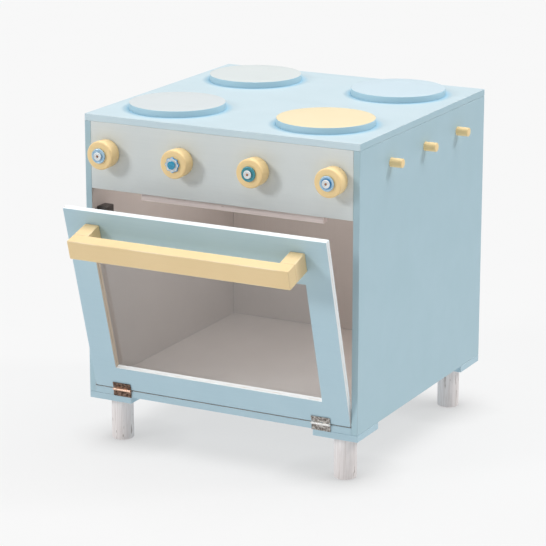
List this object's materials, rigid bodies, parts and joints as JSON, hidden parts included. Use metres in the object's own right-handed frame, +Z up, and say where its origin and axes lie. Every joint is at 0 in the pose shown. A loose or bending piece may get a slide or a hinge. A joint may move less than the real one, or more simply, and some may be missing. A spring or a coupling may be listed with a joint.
{
  "type": "toy kitchen",
  "caption": "Small toy cooker of painted plywood on short dowel legs, with round hob discs, turning knobs on a control panel, side pegs and a windowed drop-down oven door.",
  "frame": {"origin": "on the floor under the middle of the whole model's bounding box, with the oven door ajar", "axes": "+X to the right along the front, +Y from the front to the back, +Z up"},
  "size_m": [0.417, 0.5064, 0.46],
  "materials": {
    "blue_paint": "matt pale blue paint on birch plywood",
    "grey_paint": "matt pale grey paint on birch plywood",
    "bare_batten": "thinly painted pine strip",
    "disc_pale_grey": "matt pale grey paint on plywood",
    "disc_yellow": "matt pale yellow paint on plywood",
    "disc_grey": "matt light grey paint on plywood",
    "disc_pale_blue": "matt very pale blue paint on plywood",
    "yellow_paint": "satin pale yellow paint on turned and planed pine",
    "whitewashed_dowel": "thin whitewash on beech dowel, grain showing",
    "button_blue": "moulded polyester button, light blue",
    "button_white": "moulded polyester button, white",
    "button_teal": "moulded polyester button, teal",
    "clear_acrylic": "clear acrylic sheet",
    "steel": "zinc plated steel, a little dull",
    "black_catch": "black plastic case of a magnetic catch"
  },
  "bodies": {
    "cabinet": {"top_board": "blue_paint", "left_side_panel": "blue_paint", "right_side_panel": "blue_paint", "bottom_board": "blue_paint", "back_panel": "blue_paint", "corner_pad_front_left": "blue_paint", "corner_pad_front_right": "blue_paint", "corner_pad_back_left": "blue_paint", "corner_pad_back_right": "blue_paint", "control_panel": "grey_paint", "stop_batten": "bare_batten", "hob_disc_front_left": "disc_pale_grey", "hob_disc_front_right": "disc_yellow", "hob_disc_back_left": "disc_grey", "hob_disc_back_right": "disc_pale_blue", "leg_front_left": "whitewashed_dowel", "leg_bolt_front_left": "steel", "leg_front_right": "whitewashed_dowel", "leg_bolt_front_right": "steel", "leg_back_left": "whitewashed_dowel", "leg_bolt_back_left": "steel", "leg_back_right": "whitewashed_dowel", "leg_bolt_back_right": "steel", "side_peg_1": "yellow_paint", "side_peg_2": "yellow_paint", "side_peg_3": "yellow_paint", "hinge_cabinet_leaf_left": "steel", "hinge_pin_left": "steel", "hinge_cabinet_leaf_right": "steel", "hinge_pin_right": "steel", "magnetic_catch": "black_catch"},
    "oven_door": {"door_frame": "blue_paint", "door_window": "clear_acrylic", "handle_bar": "yellow_paint", "handle_post_left": "yellow_paint", "handle_screw_left": "steel", "hinge_door_leaf_left": "steel", "handle_post_right": "yellow_paint", "handle_screw_right": "steel", "hinge_door_leaf_right": "steel", "catch_plate": "steel"},
    "first_knob": {"knob_1": "yellow_paint", "large_button_1": "button_blue", "small_button_1": "button_white", "knob_screw_1": "steel"},
    "second_knob": {"knob_2": "yellow_paint", "large_button_2": "button_white", "small_button_2": "button_teal", "knob_screw_2": "steel"},
    "third_knob": {"knob_3": "yellow_paint", "large_button_3": "button_teal", "small_button_3": "button_white", "knob_screw_3": "steel"},
    "fourth_knob": {"knob_4": "yellow_paint", "large_button_4": "button_blue", "small_button_4": "button_white", "knob_screw_4": "steel"}
  },
  "joints": [
    {"name": "door_hinge", "type": "hinge", "parent": "cabinet", "child": "oven_door", "pos_m": [-0.0085, -0.14084, 0.0793], "axis": [1, 0, 0], "range_deg": [-15.7, 74.3]},
    {"name": "first_knob_turn", "type": "hinge", "parent": "cabinet", "child": "first_knob", "pos_m": [-0.174, -0.13864, 0.402], "axis": [0, -1, 0], "continuous": true},
    {"name": "second_knob_turn", "type": "hinge", "parent": "cabinet", "child": "second_knob", "pos_m": [-0.06367, -0.13864, 0.402], "axis": [0, -1, 0], "continuous": true},
    {"name": "third_knob_turn", "type": "hinge", "parent": "cabinet", "child": "third_knob", "pos_m": [0.04667, -0.13864, 0.402], "axis": [0, -1, 0], "continuous": true},
    {"name": "fourth_knob_turn", "type": "hinge", "parent": "cabinet", "child": "fourth_knob", "pos_m": [0.157, -0.13864, 0.402], "axis": [0, -1, 0], "continuous": true}
  ]
}
